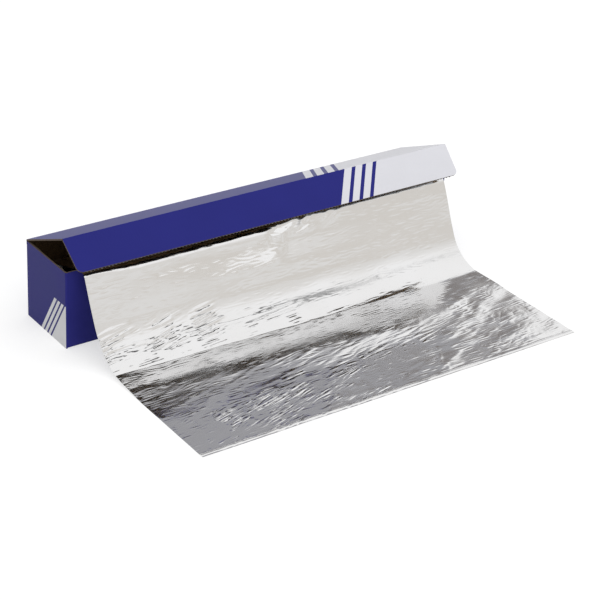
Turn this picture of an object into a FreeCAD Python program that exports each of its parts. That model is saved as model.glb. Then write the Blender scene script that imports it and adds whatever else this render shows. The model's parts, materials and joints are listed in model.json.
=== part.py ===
import FreeCAD, Part

import math
import os

from FreeCAD import Placement, Rotation, Vector

import Sketcher

# A wide kitchen foil roll in its corrugated cutter carton, with a length of foil drawn out.
# X runs along the roll, -Y is the front where the foil comes out, and +Z is up.
# The origin is on the floor under the middle of the carton. Lengths are in millimetres.

SIZES = {
    # The folded carton, of thin corrugated board, and the room that it leaves the roll.
    "board": 1.6,
    "end_clearance": 4.7,
    "side_clearance": 2.9,
    "head_clearance": 11.6,
    "bottom_fold_radius": 1.8,
    "end_fold_radius": 1.2,
    "end_panel_inset": 0.4,
    # The flaps glued behind each end panel.
    "back_tab_depth": 24.0,
    "back_tab_drop": 1.0,
    "floor_tab_depth": 50.0,
    "floor_tab_drop": 2.4,
    "tab_clearance": 0.8,
    # The lid and its front flap.
    "lid_open": 24.1,
    "crease_gap": 0.3,
    "lid_overreach": 0.4,
    "flap_fold": 65.3,
    "flap_depth": 37.0,
    "flap_taper": 2.0,
    "flap_corner": 6.0,
    # The toothed steel strip glued inside the front flap.
    "cutter_width": 10.0,
    "cutter_gauge": 0.3,
    "cutter_margin": 10.0,
    "cutter_proud": 0.8,
    "tooth_pitch": 4.0,
    "tooth_depth": 1.6,
    # The cardboard core.
    "core_diameter": 41.0,
    "core_wall": 2.5,
    "core_proud": 2.0,
    "core_fit": 0.1,
    # The wound foil. The gauge is that of the solid sheet, not of the real foil.
    "foil_width": 457.2,
    "foil_gauge": 0.4,
    "roll_diameter": 71.0,
    "roll_shift": 2.0,
    "rest_gap": 0.3,
    "turn_pitch": 3.0,
    "turn_line_width": 0.5,
    "turn_line_depth": 0.5,
    # The drawn-out sheet at its left and right edges: the shoulder over the front wall,
    # the hang in front of it, the sweep onto the floor and the free end.
    "left_shoulder_reach": 13.5,
    "left_shoulder_radius": 8.0,
    "left_hang_angle": 66.0,
    "left_sweep_radius": 70.0,
    "left_sheet_reach": 231.0,
    "right_shoulder_reach": 3.4,
    "right_shoulder_radius": 3.5,
    "right_hang_angle": 63.8,
    "right_sweep_radius": 52.0,
    "right_sheet_reach": 232.5,
}


class Size:
    """A value together with the formula on the sheet that gives it."""

    def __init__(self, value, text):
        self.value = value
        self.text = text

    def _join(self, other, sign, result):
        return Size(result, f"({self.text} {sign} {as_size(other).text})")

    def __add__(self, other):
        return self._join(other, "+", self.value + as_size(other).value)

    def __sub__(self, other):
        return self._join(other, "-", self.value - as_size(other).value)

    def __mul__(self, other):
        return self._join(other, "*", self.value * as_size(other).value)

    def __truediv__(self, other):
        return self._join(other, "/", self.value / as_size(other).value)

    def __neg__(self):
        return Size(-self.value, f"(-1 * {self.text})")


def as_size(number):
    return number if isinstance(number, Size) else Size(float(number), repr(float(number)))


def size(name):
    return Size(SIZES[name], f"Sizes.{name}")


def cosine(angle):
    return Size(math.cos(math.radians(angle.value)), f"cos({angle.text} * 1 deg)")


def sine(angle):
    return Size(math.sin(math.radians(angle.value)), f"sin({angle.text} * 1 deg)")


def make_sheet(doc):
    """The driving sizes, one named cell each."""
    sheet = doc.addObject("Spreadsheet::Sheet", "Sizes")
    for row, (name, value) in enumerate(SIZES.items(), start=1):
        sheet.set(f"A{row}", name)
        sheet.set(f"B{row}", str(value))
        sheet.setAlias(f"B{row}", name)
    doc.recompute()
    return sheet


def bind(obj, **sizes):
    """Set each named property to its size and tie it to the sheet."""
    for name, value in sizes.items():
        value = as_size(value)
        setattr(obj, name, value.value)
        obj.setExpression(name, value.text)
    return obj


def place(obj, x=0.0, y=0.0, z=0.0, turn=0.0, axis=(1, 0, 0)):
    """Put an object at a point on the sheet, turned about an axis through it."""
    x, y, z, turn = (as_size(value) for value in (x, y, z, turn))
    base = Vector(x.value, y.value, z.value)
    obj.Placement = Placement(base, Rotation(Vector(*axis), turn.value))
    for path, value in (("x", x), ("y", y), ("z", z)):
        obj.setExpression(f"Placement.Base.{path}", value.text)
    if turn.value:
        obj.setExpression("Placement.Rotation.Angle", f"{turn.text} * 1 deg")
    return obj


def primitive(doc, kind, name, **sizes):
    return bind(doc.addObject(f"Part::{kind}", name), **sizes)


def plane_of(body, role):
    return next(item for item in body.Origin.OriginFeatures if item.Role == role)


def stations(corners):
    """The points of a closed outline; a corner with a radius gives an arc's two ends."""
    points = []
    for index, (across, up, *radius) in enumerate(corners):
        if not radius:
            points.append((across, up, None))
            continue
        ends = []
        for other in (corners[index - 1], corners[(index + 1) % len(corners)]):
            step_across, step_up = other[0].value - across.value, other[1].value - up.value
            if abs(step_across) > abs(step_up):
                ends.append((across + radius[0] * math.copysign(1, step_across), up))
            else:
                ends.append((across, up + radius[0] * math.copysign(1, step_up)))
        points.append((*ends[0], (across, up, radius[0])))
        points.append((*ends[1], None))
    return points


def round_corner(start, end, corner, radius):
    """The arc of a rounded right-angled corner, as sketch geometry."""
    middle = (start + end) / 2
    inwards = (middle - corner).normalize()
    return Part.Arc(start, corner + inwards * radius * (math.sqrt(2) - 1), end)


def outline(body, name, role, *loops, offset=None):
    """A sketch of closed loops of lines and rounded corners, each point tied to the sheet."""
    sketch = body.newObject("Sketcher::SketchObject", name)
    sketch.AttachmentSupport = [(plane_of(body, role), "")]
    sketch.MapMode = "FlatFace"
    if offset is not None:
        sketch.AttachmentOffset = Placement(Vector(0, 0, offset.value), Rotation())
        sketch.setExpression("AttachmentOffset.Base.z", offset.text)
    for corners in loops:
        points = stations([tuple(as_size(value) for value in corner) for corner in corners])
        spots = [Vector(across.value, up.value, 0) for across, up, arc in points]
        ends = []
        for start, end, (across, up, arc) in zip(spots, spots[1:] + spots[:1], points):
            if arc:
                corner = Vector(arc[0].value, arc[1].value, 0)
                curve = round_corner(start, end, corner, arc[2].value)
            else:
                curve = Part.LineSegment(start, end)
            edge = sketch.addGeometry(curve, False)
            begins = 1 if sketch.getPoint(edge, 1).distanceToPoint(start) < 1e-6 else 2
            ends.append((edge, begins, 3 - begins))
        for (edge, begins, stops), after, (across, up, arc) in zip(ends, ends[1:] + ends[:1], points):
            sketch.addConstraint(Sketcher.Constraint("Coincident", edge, stops, after[0], after[1]))
            ties = [
                (Sketcher.Constraint("DistanceX", -1, 1, edge, begins, across.value), across),
                (Sketcher.Constraint("DistanceY", -1, 1, edge, begins, up.value), up),
            ]
            if arc:
                ties.append((Sketcher.Constraint("Radius", edge, arc[2].value), arc[2]))
            for tie, value in ties:
                sketch.setExpression(f"Constraints[{sketch.addConstraint(tie)}]", value.text)
    return sketch


def pad(body, name, sketch, depth, midplane=False):
    feature = body.newObject("PartDesign::Pad", name)
    feature.Profile = sketch
    feature.Midplane = midplane
    return bind(feature, Length=depth)


def round_upright_edges(body, name, feature, radius, wanted):
    """Round the feature's edges along its own Z whose place passes a test."""
    body.Document.recompute()
    names = []
    for number, edge in enumerate(feature.Shape.Edges, start=1):
        ends = [vertex.Point for vertex in edge.Vertexes]
        upright = len(ends) == 2 and abs((ends[1] - ends[0]).z) > edge.Length - 1e-6
        if upright and wanted(ends[0]):
            names.append(f"Edge{number}")
    fillet = body.newObject("PartDesign::Fillet", name)
    fillet.Base = (feature, names)
    return bind(fillet, Radius=radius)


def carton_length():
    """The core and its room, between end panels that are two boards thick."""
    held = size("foil_width") + size("core_proud") * 2
    return held + size("end_clearance") * 2 + size("board") * 4


def carton_depth():
    return size("roll_diameter") + size("side_clearance") * 2 + size("board") * 2


def wall_height():
    return size("board") + size("rest_gap") + size("roll_diameter") + size("head_clearance")


def near(value, target):
    return abs(value - target.value) < 1e-4


def box_outline(low_across, low_up, high_across, high_up):
    return [(low_across, low_up), (high_across, low_up), (high_across, high_up), (low_across, high_up)]


def make_carton(doc):
    """Front wall, floor and back wall, with end panels over glued flaps: one folded blank."""
    half, depth, height = carton_length() / 2, carton_depth(), wall_height()
    board, fold = size("board"), size("bottom_fold_radius")
    front, back = -depth / 2, depth / 2
    body = doc.addObject("PartDesign::Body", "carton")
    wrap_sketch = outline(body, "wrap_section", "YZ_Plane", [
        (front, height), (front, 0, fold), (back, 0, fold), (back, height),
        (back - board, height), (back - board, board),
        (front + board, board), (front + board, height),
    ])
    pad(body, "wrap", wrap_sketch, (half - board) * 2, midplane=True)

    # The end panels fold from the front wall; the tabs behind them fold from the back
    # wall and from the floor, and stop a little lower.
    panel_back = back - size("end_panel_inset")
    end_fold = size("end_fold_radius")
    panels = outline(body, "end_panels_plan", "XY_Plane", *(
        [(side * half, front, end_fold), (side * half, panel_back),
         (side * (half - board), panel_back), (side * (half - board), front)]
        for side in (as_size(-1), as_size(1))
    ))
    pad(body, "end_panels", panels, height)
    tab_back = back - board
    tab_front = front + board + size("tab_clearance")
    tabs = (
        ("back_tabs", tab_back - size("back_tab_depth"), tab_back, size("back_tab_drop")),
        ("floor_tabs", tab_front, tab_front + size("floor_tab_depth"), size("floor_tab_drop")),
    )
    for name, near_edge, far_edge, drop in tabs:
        plan = outline(body, f"{name}_plan", "XY_Plane", *(
            box_outline(side * (half - board), near_edge, side * (half - board * 2), far_edge)
            for side in (as_size(-1), as_size(1))
        ), offset=board)
        pad(body, name, plan, height - board - drop)
    return body


def hinge_line():
    """Height and depth of the lid's crease, at mid board on top of the back wall."""
    board = size("board")
    return carton_depth() / 2 - board / 2, wall_height() + size("crease_gap") + board / 2


def lid_reach():
    """From the back crease to the front one, so that the shut flap clears the front wall."""
    return carton_depth() + size("lid_overreach")


def flap_line():
    across, up = hinge_line()
    angle = size("lid_open")
    return across - lid_reach() * cosine(angle), up + lid_reach() * sine(angle)


def make_lid(doc):
    """The top panel, round at both creases so that it turns in its place."""
    length, board, reach = carton_length(), size("board"), lid_reach()
    panel = primitive(doc, "Box", "lid_board", Length=length, Width=reach, Height=board)
    place(panel, x=-length / 2, y=-reach, z=-board / 2)
    parts = [panel]
    for name, across in (("back_crease", as_size(0)), ("front_crease", -reach)):
        crease = primitive(doc, "Cylinder", name, Radius=board / 2, Height=length)
        crease.Placement = Placement(Vector(-length.value / 2, across.value, 0), Rotation(Vector(0, 1, 0), 90))
        crease.setExpression("Placement.Base.x", (-length / 2).text)
        crease.setExpression("Placement.Base.y", across.text)
        parts.append(crease)
    lid = doc.addObject("Part::MultiFuse", "lid_panel")
    lid.Shapes = parts
    lid.Refine = True
    across, up = hinge_line()
    return place(lid, y=across, z=up, turn=-size("lid_open"))


def make_flap(doc):
    """The lid's front flap, a little narrower at its free edge, with rounded corners."""
    half, board, depth = carton_length() / 2, size("board"), size("flap_depth")
    start = -(board / 2 + size("crease_gap"))
    narrow = half - size("flap_taper")
    body = doc.addObject("PartDesign::Body", "lid_flap")
    sketch = outline(body, "flap_outline", "XY_Plane", [
        (-half, start), (-narrow, -depth), (narrow, -depth), (half, start),
    ])
    panel = pad(body, "flap_board", sketch, board, midplane=True)

    def at_free_corner(point):
        return near(abs(point.x), narrow) and near(point.y, -depth)

    round_upright_edges(body, "flap_corners", panel, size("flap_corner"), at_free_corner)
    across, up = flap_line()
    return place(body, y=across, z=up, turn=size("flap_fold") - size("lid_open"))


def make_cutter(doc):
    """A steel strip with a row of teeth along its lower edge."""
    gauge, pitch = size("cutter_gauge"), size("tooth_pitch")
    tip = -(size("flap_depth") + size("cutter_proud"))
    root = tip + size("tooth_depth")
    top = tip + size("cutter_width")
    half = carton_length() / 2 - size("cutter_margin")
    run = half * 2 - pitch
    teeth = int(run.value // pitch.value) + 1
    body = doc.addObject("PartDesign::Body", "cutter_strip")
    level = -(size("board") / 2 + gauge)
    strip_sketch = outline(body, "strip_outline", "XY_Plane", [
        (-half, root), (half, root), (half, top), (-half, top),
    ], offset=level)
    pad(body, "strip", strip_sketch, gauge)
    tooth_sketch = outline(body, "tooth_outline", "XY_Plane", [
        (-half, root), (-half + pitch / 2, tip), (-half + pitch, root),
    ], offset=level)
    tooth = pad(body, "tooth", tooth_sketch, gauge)
    row = body.newObject("PartDesign::LinearPattern", "teeth")
    row.Originals = [tooth]
    row.Direction = (tooth_sketch, ["H_Axis"])
    row.Occurrences = teeth
    bind(row, Length=pitch * (teeth - 1))
    body.Tip = row
    across, up = flap_line()
    return place(body, y=across, z=up, turn=size("flap_fold") - size("lid_open"))


def roll_centre():
    return size("board") + size("rest_gap") + size("roll_diameter") / 2


def along_x(doc, name, radius, length, middle):
    """A cylinder along X about the roll's axis."""
    tube = primitive(doc, "Cylinder", name, Radius=radius, Height=length)
    tube.Placement = Placement(
        Vector(middle.value - length.value / 2, 0, roll_centre().value), Rotation(Vector(0, 1, 0), 90)
    )
    tube.setExpression("Placement.Base.x", (middle - length / 2).text)
    tube.setExpression("Placement.Base.z", roll_centre().text)
    return tube


def make_core(doc):
    length = size("foil_width") + size("core_proud") * 2
    radius = size("core_diameter") / 2
    outside = along_x(doc, "core_outside", radius, length, size("roll_shift"))
    bore = along_x(doc, "core_bore", radius - size("core_wall"), length + 2, size("roll_shift"))
    core = doc.addObject("Part::Cut", "core_tube")
    core.Base = outside
    core.Tool = bore
    return core


class Path:
    """A line of tangent straights and arcs in the YZ plane, kept as offset pairs of edges."""

    def __init__(self, start, heading, half):
        self.point = start
        self.heading = heading
        self.half = half
        self.above = []
        self.below = []

    def side(self, offset):
        across, up = self.point
        return Vector(0, across - offset * math.sin(self.heading), up + offset * math.cos(self.heading))

    def straight(self, length):
        tops = [self.side(self.half)]
        unders = [self.side(-self.half)]
        across, up = self.point
        self.point = (across + length * math.cos(self.heading), up + length * math.sin(self.heading))
        tops.append(self.side(self.half))
        unders.append(self.side(-self.half))
        self.above.append(Part.LineSegment(*tops).toShape())
        self.below.append(Part.LineSegment(*unders).toShape())

    def bend(self, radius, turn):
        """Turn by an angle in radians; a positive turn is towards the left of the heading."""
        steer = math.copysign(radius, turn)
        across, up = self.point
        centre = (across - steer * math.sin(self.heading), up + steer * math.cos(self.heading))
        start, tops, unders = self.heading, [], []
        for part in (0.0, 0.5, 1.0):
            self.heading = start + turn * part
            self.point = (
                centre[0] + steer * math.sin(self.heading), centre[1] - steer * math.cos(self.heading)
            )
            tops.append(self.side(self.half))
            unders.append(self.side(-self.half))
        self.above.append(Part.Arc(*tops).toShape())
        self.below.append(Part.Arc(*unders).toShape())


def sheet_section(edge, x):
    """The outline of the roll and its drawn-out sheet at one edge of the foil."""
    radius = SIZES["roll_diameter"] / 2
    gauge = SIZES["foil_gauge"]
    half = gauge / 2
    centre = roll_centre().value
    front = carton_depth().value / 2
    rest = wall_height().value + SIZES["rest_gap"] + half
    reach = SIZES[f"{edge}_shoulder_reach"]
    shoulder_radius = SIZES[f"{edge}_shoulder_radius"]
    hang = math.radians(SIZES[f"{edge}_hang_angle"])
    sweep_radius = SIZES[f"{edge}_sweep_radius"]
    end = SIZES[f"{edge}_sheet_reach"] + front

    # The sheet leaves the top of the roll on the tangent that clears the front wall's inner
    # edge. Distances run forwards from the roll's axis, so the wall is at a positive one.
    middle = radius - half
    inside = front - SIZES["board"]
    span = math.hypot(inside, rest - centre)
    rise = math.atan2(rest - centre, inside) - math.asin(middle / span)
    leave = (-middle * math.sin(rise), centre + middle * math.cos(rise))
    corner = (front + reach, rest + (front + reach - inside) * math.tan(rise))

    path = Path(leave, rise, half)
    turn = rise + hang
    cut_back = shoulder_radius * math.tan(turn / 2)
    path.straight(math.hypot(corner[0] - leave[0], corner[1] - leave[1]) - cut_back)
    path.bend(shoulder_radius, -turn)
    landing = sweep_radius * (1 - math.cos(hang)) + half
    path.straight((path.point[1] - landing) / math.sin(hang))
    path.bend(sweep_radius, hang)
    path.straight(end - path.point[0])

    # Close the outline: the free end, back along the underside, and round the roll.
    slip = math.sqrt(radius ** 2 - (radius - gauge) ** 2)
    direction = Vector(0, math.cos(rise), math.sin(rise))
    first_under = path.below[0]
    meeting = first_under.Vertexes[0].Point + direction * slip
    path.below[0] = Part.LineSegment(meeting, first_under.Vertexes[1].Point).toShape()
    lowest = Vector(0, 0, centre - radius)
    tip = Part.LineSegment(path.above[-1].Vertexes[1].Point, path.below[-1].Vertexes[1].Point).toShape()
    around = Part.Arc(meeting, lowest, path.above[0].Vertexes[0].Point).toShape()
    edges = path.above + [tip] + path.below[::-1] + [around]
    wire = Part.Wire(Part.__sortEdges__(edges))
    wire = wire.mirror(Vector(0, 0, 0), Vector(0, 1, 0))
    wire.translate(Vector(x, 0, 0))
    return wire


def turn_lines(doc, name, x):
    """A spiral groove in one end of the roll, between its turns, made of half circles."""
    pitch = SIZES["turn_pitch"]
    half = SIZES["turn_line_width"] / 2
    inner = SIZES["core_diameter"] / 2 + pitch / 2
    outer = SIZES["roll_diameter"] / 2 - pitch / 2
    centre = roll_centre().value
    rows = {half: [], -half: []}
    for step in range(int((outer - inner) // (pitch / 2))):
        side = 1 if step % 2 == 0 else -1
        middle = side * pitch / 4
        for offset, row in rows.items():
            radius = inner + step * pitch / 2 + offset
            row.append(Part.Arc(
                Vector(x, middle - side * radius, centre),
                Vector(x, middle, centre + side * radius),
                Vector(x, middle + side * radius, centre),
            ).toShape())
    wide, narrow = rows.values()
    first = Part.LineSegment(wide[0].Vertexes[0].Point, narrow[0].Vertexes[0].Point).toShape()
    last = Part.LineSegment(wide[-1].Vertexes[-1].Point, narrow[-1].Vertexes[-1].Point).toShape()
    wire = Part.Wire(Part.__sortEdges__([first, *wide, last, *narrow]))
    groove = doc.addObject("Part::Feature", name)
    depth = SIZES["turn_line_depth"]
    groove.Shape = Part.Face(wire).extrude(Vector(depth * 2, 0, 0))
    groove.Placement = Placement(Vector(-depth, 0, 0), Rotation())
    return groove


def make_foil(doc):
    """The wound roll and the sheet drawn from it, lofted between its two edges."""
    width, shift = SIZES["foil_width"], SIZES["roll_shift"]
    sections = []
    bore_radius = size("core_diameter") / 2 + size("core_fit")
    cutters = [along_x(doc, "foil_bore", bore_radius, size("foil_width") + 2, size("roll_shift"))]
    for edge, x in (("left", shift - width / 2), ("right", shift + width / 2)):
        section = doc.addObject("Part::Feature", f"{edge}_edge")
        section.Shape = sheet_section(edge, x)
        sections.append(section)
        cutters.append(turn_lines(doc, f"{edge}_turns", x))
    foil = doc.addObject("Part::Loft", "wound_and_drawn")
    foil.Sections = sections
    foil.Solid = True
    foil.Ruled = True
    for number, cutter in enumerate(cutters, start=1):
        last = number == len(cutters)
        cut = doc.addObject("Part::Cut", "foil" if last else f"foil_cut_{number}")
        cut.Base = foil
        cut.Tool = cutter
        foil = cut
    return foil


def check_and_export(doc, parts):
    """Refuse a broken model, then write each sub-part to its own file."""
    doc.recompute()
    for obj in doc.Objects:
        if "Invalid" in obj.State or "Error" in obj.State:
            raise RuntimeError(f"{obj.Name} failed: {obj.State}")
    os.makedirs("parts", exist_ok=True)
    for part in parts:
        shape = part.Shape
        if shape.isNull() or not shape.isValid():
            raise RuntimeError(f"{part.Label} has no valid shape")
        shape.exportStep(f"parts/{part.Label}.step")
        box = shape.BoundBox
        print(f"{part.Label}: {len(shape.Solids)} solid, {shape.Volume / 1000:.2f} cm3, "
              f"x {box.XMin:.1f}..{box.XMax:.1f}, y {box.YMin:.1f}..{box.YMax:.1f}, "
              f"z {box.ZMin:.1f}..{box.ZMax:.1f}")


def main():
    doc = FreeCAD.newDocument("foil_roll")
    make_sheet(doc)
    makers = (make_carton, make_lid, make_flap, make_cutter, make_core, make_foil)
    check_and_export(doc, [make(doc) for make in makers])


main()
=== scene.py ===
# %% [markdown]
# # Aluminium foil in a cutter carton
#
# A long cardboard carton lies on a table with its lid a little open. A wide roll of
# aluminium foil sits in it on its paper core, and the first stretch of foil is drawn out
# over the front wall, down to the table and forwards. The folded board is already right in
# the frame that CAD made, so it only gets its print and its cut edges here. The foil is
# thin and crumples, so it is made again as a fine mesh.

# %% Load the frame
import json
import math

import bpy
import numpy as np
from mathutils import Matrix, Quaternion, Vector, noise


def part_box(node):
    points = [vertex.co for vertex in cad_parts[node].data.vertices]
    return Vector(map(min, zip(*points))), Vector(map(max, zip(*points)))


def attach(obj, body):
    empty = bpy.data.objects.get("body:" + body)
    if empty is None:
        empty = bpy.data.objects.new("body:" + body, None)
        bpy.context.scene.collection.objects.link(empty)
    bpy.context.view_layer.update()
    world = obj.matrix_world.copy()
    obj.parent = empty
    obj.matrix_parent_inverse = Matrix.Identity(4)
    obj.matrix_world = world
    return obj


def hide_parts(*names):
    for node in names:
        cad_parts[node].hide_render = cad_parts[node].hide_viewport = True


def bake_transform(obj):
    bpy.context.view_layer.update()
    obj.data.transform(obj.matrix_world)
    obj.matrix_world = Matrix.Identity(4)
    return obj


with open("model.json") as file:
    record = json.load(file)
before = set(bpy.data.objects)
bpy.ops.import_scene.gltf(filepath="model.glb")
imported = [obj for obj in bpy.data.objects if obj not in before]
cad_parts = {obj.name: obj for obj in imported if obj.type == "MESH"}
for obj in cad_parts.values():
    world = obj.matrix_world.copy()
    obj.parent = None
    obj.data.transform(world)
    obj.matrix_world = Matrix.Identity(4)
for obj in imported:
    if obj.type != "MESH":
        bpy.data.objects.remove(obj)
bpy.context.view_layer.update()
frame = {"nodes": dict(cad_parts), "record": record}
MM = 0.001

# %% [markdown]
# Colours are picked as sRGB hex values, the way they look on a screen, and Blender's
# shaders work with linear light. One function turns the first into the second. Another
# adds a node, sets its options and joins its inputs, so that a material reads as a list.

# %% Colour and node helpers
def linear(hex_colour):
    """An sRGB hex colour as linear red, green, blue and alpha."""
    shares = (int(hex_colour[i:i + 2], 16) / 255 for i in (1, 3, 5))
    return [c / 12.92 if c <= 0.04045 else ((c + 0.055) / 1.055) ** 2.4 for c in shares] + [1]


def add(tree, kind, inputs=None, **settings):
    """Adds a node with its settings. An input is a number, a vector or another node's output."""
    node = tree.nodes.new(kind)
    for name, value in settings.items():
        setattr(node, name, value)
    for name, value in (inputs or {}).items():
        if isinstance(value, bpy.types.Node):
            value = value.outputs[0]
        if isinstance(value, bpy.types.NodeSocket):
            tree.links.new(value, node.inputs[name])
        else:
            node.inputs[name].default_value = value
    return node


def maths(tree, operation, *values):
    """One sum on numbers or sockets."""
    return add(tree, "ShaderNodeMath", dict(enumerate(values)), operation=operation)


def dot(tree, vector, direction):
    """How far a vector reaches along a direction."""
    return add(tree, "ShaderNodeVectorMath", {0: vector, 1: direction},
               operation="DOT_PRODUCT").outputs["Value"]


def ramp(tree, value, low, high, to_low=0.0, to_high=1.0):
    """A smooth step from one value to another."""
    return add(tree, "ShaderNodeMapRange", {
        "Value": value, "From Min": low, "From Max": high,
        "To Min": to_low, "To Max": to_high}, interpolation_type="SMOOTHSTEP")


def window(tree, value, rise_from, rise_to, fall_from, fall_to):
    """A share that rises from 0 to 1 and later falls to 0 again."""
    return maths(tree, "MULTIPLY", ramp(tree, value, rise_from, rise_to),
                 ramp(tree, value, fall_from, fall_to, 1.0, 0.0))


def product(tree, share, *others):
    """Shares multiplied together."""
    for other in others:
        share = maths(tree, "MULTIPLY", share, other)
    return share


def blend_colours(tree, share, first, second):
    """A mix of two colours."""
    node = add(tree, "ShaderNodeMix", {0: share}, data_type="RGBA")
    for index, value in ((6, first), (7, second)):
        if isinstance(value, (bpy.types.Node, bpy.types.NodeSocket)):
            source = value.outputs[2] if isinstance(value, bpy.types.Node) else value
            tree.links.new(source, node.inputs[index])
        else:
            node.inputs[index].default_value = value
    return node


def grain(tree, vector, scale, detail=2.0, roughness=0.5):
    """Noise on a vector that is already in units of its own grain."""
    return add(tree, "ShaderNodeTexNoise", {
        "Vector": vector, "Scale": scale, "Detail": detail, "Roughness": roughness})


def new_material(name):
    """An empty material and its node tree with an output."""
    material = bpy.data.materials.new(name)
    material.use_nodes = True
    tree = material.node_tree
    tree.nodes.clear()
    output = tree.nodes.new("ShaderNodeOutputMaterial")
    return material, tree, output

# %% [markdown]
# Every new piece is a mesh from points and faces. It is shaded smooth, apart from edges
# where two faces meet at a steep angle, such as the thin rim of a sheet.

# %% Mesh helper
SHARP_EDGE = math.radians(50)


def new_piece(name, points, faces, material, smooth=True):
    """A mesh piece from points in metres."""
    mesh = bpy.data.meshes.new(name)
    mesh.from_pydata([tuple(p) for p in points], [], faces)
    mesh.update()
    mesh.polygons.foreach_set("use_smooth", [smooth] * len(mesh.polygons))
    if smooth:
        mesh.set_sharp_from_angle(angle=SHARP_EDGE)
    piece = bpy.data.objects.new(name, mesh)
    bpy.context.scene.collection.objects.link(piece)
    mesh.materials.append(material)
    print(f"{name}: {len(mesh.vertices)} points, {len(mesh.polygons)} faces")
    return piece

# %% [markdown]
# ## Camera
#
# The camera stands at the front left of the carton, about 1.8 m away, and looks down at
# nearly 29 degrees through a long lens. It is turned by a few degrees about its own line
# of sight, which lifts the far end of the carton.

# %% Camera
CAMERA_PLACE = Vector((-0.9625, -1.3681, 0.8858))
CAMERA_AIM = Vector((0.0224, -0.0729, 0.0))
CAMERA_ROLL = math.radians(3.64)
LENS = 105.4

camera_data = bpy.data.cameras.new("camera")
camera_data.lens = LENS
camera_data.sensor_width = 36
camera_data.clip_start, camera_data.clip_end = 0.05, 50
camera = bpy.data.objects.new("camera", camera_data)
bpy.context.scene.collection.objects.link(camera)
camera.rotation_mode = "QUATERNION"
camera.location = CAMERA_PLACE
aim = (CAMERA_AIM - CAMERA_PLACE).to_track_quat("-Z", "Y")
camera.rotation_quaternion = aim @ Quaternion((0, 0, 1), CAMERA_ROLL)
bpy.context.scene.camera = camera
print("camera distance", round((CAMERA_AIM - CAMERA_PLACE).length, 3), "m")

# %% [markdown]
# ## Light and floor
#
# Foil is a mirror, so it shows its surroundings more than its own colour: the pale and
# dark bands on it are the studio's. This studio is pale in front and white overhead. A
# patchy grey wall stands behind the object, and a lighter one on the left. A dark seam
# between two soft lights overhead draws fine dark streaks on the foot of the foil. The
# studio depends only on the direction of a ray, so every view of the foil shows the same
# room. Matt surfaces don't see it. They get a plain even light and a soft sun, so that
# printed colours render as they are written.
#
# A place in the studio is given by how far a direction reaches along an axis, from -1 to
# 1: X to the right, Y to the back and Z up. Two numbers fade a part in or out, and four
# fade it in and out again.

# %% Studio wall and front
OVERHEAD_WHITE = 1.04
OVERHEAD_ABOVE = (0.45, 0.70)
FRONT_GREY, FRONT_WARM = "#EFEEEC", "#E2DED8"
FRONT_TO = (0.05, 0.35)
MOTTLE_SCALE, MOTTLE_EDGES = 7.0, (0.40, 0.60)
WALL_GREY, WALL_BROWN = "#A6A6AA", "#776E66"
WALL_HEIGHT = (0.14, 0.30, 0.63, 0.78)
WALL_BEHIND = (0.0, 0.35)
WALL_BEARING = (math.radians(44.8) + 0.10, math.radians(44.8) + 0.16)
WALL_RAGGED, RAGGED_SCALE = 0.25, 9.0
PATCH_SCALE, PATCH_EDGES = 3.0, (0.42, 0.60)

world = bpy.data.worlds.new("studio")
bpy.context.scene.world = world
world.use_nodes = True
world.cycles.sampling_method = "NONE"
sky = world.node_tree
sky.nodes.clear()
direction = add(sky, "ShaderNodeTexCoord").outputs["Generated"]
reach = add(sky, "ShaderNodeSeparateXYZ", {0: direction})
to_right, to_back, upwards = (reach.outputs[axis] for axis in "XYZ")
white = [OVERHEAD_WHITE] * 3 + [1]
mottle = ramp(sky, grain(sky, direction, MOTTLE_SCALE), *MOTTLE_EDGES)
front = blend_colours(sky, mottle, linear(FRONT_GREY), linear(FRONT_WARM))
low_room = blend_colours(sky, ramp(sky, to_back, *FRONT_TO), front, white)
room = blend_colours(sky, ramp(sky, upwards, *OVERHEAD_ABOVE), low_room, white)
bearing = maths(sky, "ARCTAN2", to_right, to_back)
ragged = maths(sky, "MULTIPLY_ADD", grain(sky, direction, RAGGED_SCALE, 3.0), WALL_RAGGED, bearing)
wall_share = product(sky, ramp(sky, ragged, *WALL_BEARING, 1.0, 0.0),
                     ramp(sky, to_back, *WALL_BEHIND), window(sky, upwards, *WALL_HEIGHT))
patches = ramp(sky, grain(sky, direction, PATCH_SCALE), *PATCH_EDGES)
wall = blend_colours(sky, patches, linear(WALL_GREY), linear(WALL_BROWN))
print("studio wall up to a reach of", WALL_HEIGHT[-1])

# %% [markdown]
# The wall on the left and the seam overhead are laid over the room in the same way, each
# with a share that says how much of it a direction sees. The wall behind comes last.

# %% Studio side and seam
SIDE_GREY, SIDE_PALE = "#8E8D8C", "#C6C4C2"
SIDE_TO = (-0.05, 0.28)
SIDE_HEIGHT = (0.08, 0.20, 0.75, 0.95)
SEAM_GREY = "#2C2C2E"
SEAM_DEPTH = (-0.37, -0.32, -0.24, -0.19)
SEAM_ABOVE = (0.50, 0.60)
SEAM_TO = (0.50, 0.64)

side_share = product(sky, ramp(sky, to_right, *SIDE_TO, 1.0, 0.0),
                     window(sky, upwards, *SIDE_HEIGHT))
side = blend_colours(sky, mottle, linear(SIDE_GREY), linear(SIDE_PALE))
sided = blend_colours(sky, side_share, room, side)
seam_share = product(sky, window(sky, to_back, *SEAM_DEPTH), ramp(sky, upwards, *SEAM_ABOVE),
                     ramp(sky, to_right, *SEAM_TO, 1.0, 0.0))
seamed = blend_colours(sky, seam_share, sided, linear(SEAM_GREY))
studio = blend_colours(sky, wall_share, seamed, wall)
print("studio nodes so far:", len(sky.nodes))

# %% [markdown]
# One world serves three kinds of ray. The camera sees a white background, metal sees the
# studio, and all other rays get one plain level of light.

# %% World
SKY_LIGHT = 0.62

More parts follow.
